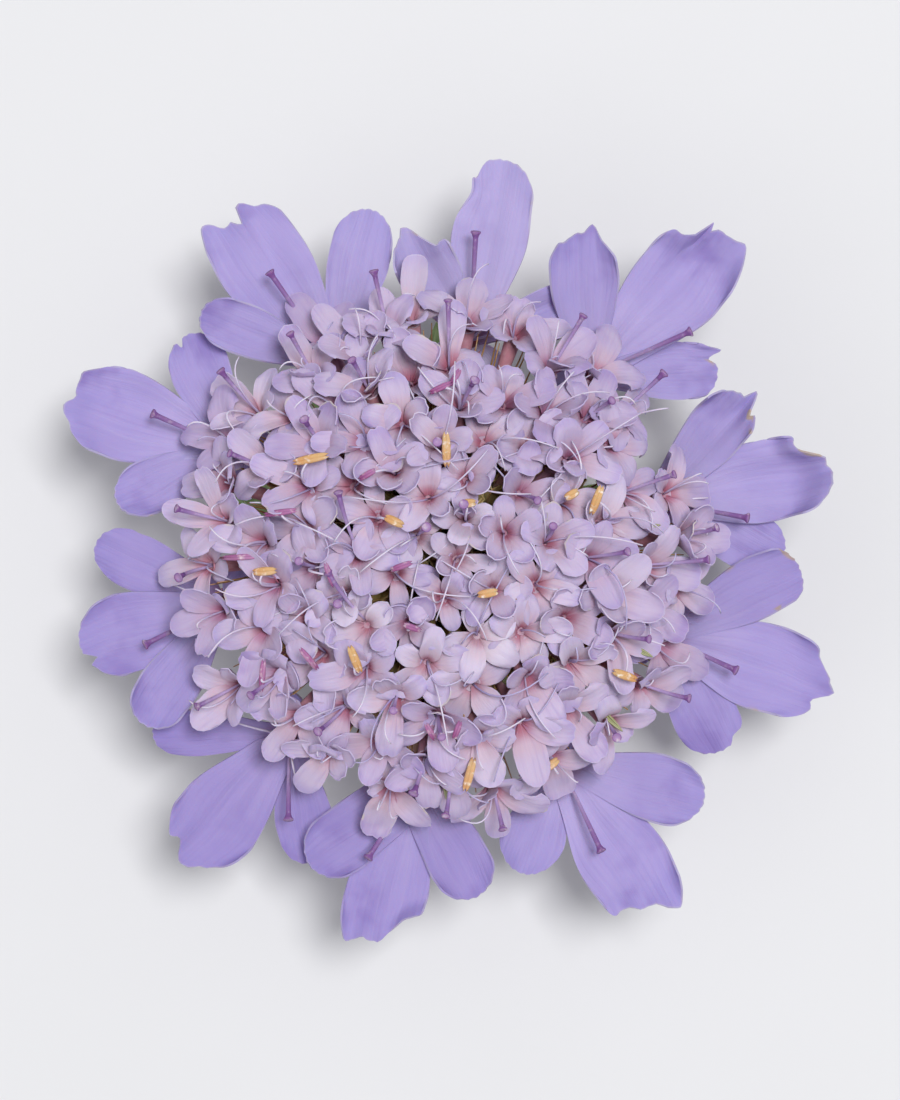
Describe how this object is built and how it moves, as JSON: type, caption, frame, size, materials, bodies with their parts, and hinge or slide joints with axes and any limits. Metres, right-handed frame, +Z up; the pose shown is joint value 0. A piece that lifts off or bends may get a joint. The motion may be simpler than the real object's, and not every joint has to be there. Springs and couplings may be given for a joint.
{
  "type": "scabiosa flower head",
  "caption": "Picked scabiosa flower head with a domed disc of small florets, a ring of large lilac ray florets, drooping green bracts and a short cut stem.",
  "frame": {"origin": "on the surface that the flower stands on, under the middle of the bounding box", "axes": "+Z up through the flower's face; +Y and +X lie in the plane of the rays, +Y towards the picture's top and +X towards its right"},
  "size_m": [0.0449, 0.0458, 0.0236],
  "materials": {
    "stem": "matte",
    "involucre": "matte",
    "ray_floret": "matte",
    "disc_floret": "matte"
  },
  "bodies": {
    "root": {"stem": "stem", "involucre": "involucre", "ray_floret_01": "ray_floret", "ray_floret_02": "ray_floret", "ray_floret_03": "ray_floret", "ray_floret_04": "ray_floret", "ray_floret_05": "ray_floret", "ray_floret_06": "ray_floret", "ray_floret_07": "ray_floret", "ray_floret_08": "ray_floret", "ray_floret_09": "ray_floret", "ray_floret_10": "ray_floret", "disc_florets": "disc_floret"}
  },
  "joints": []
}
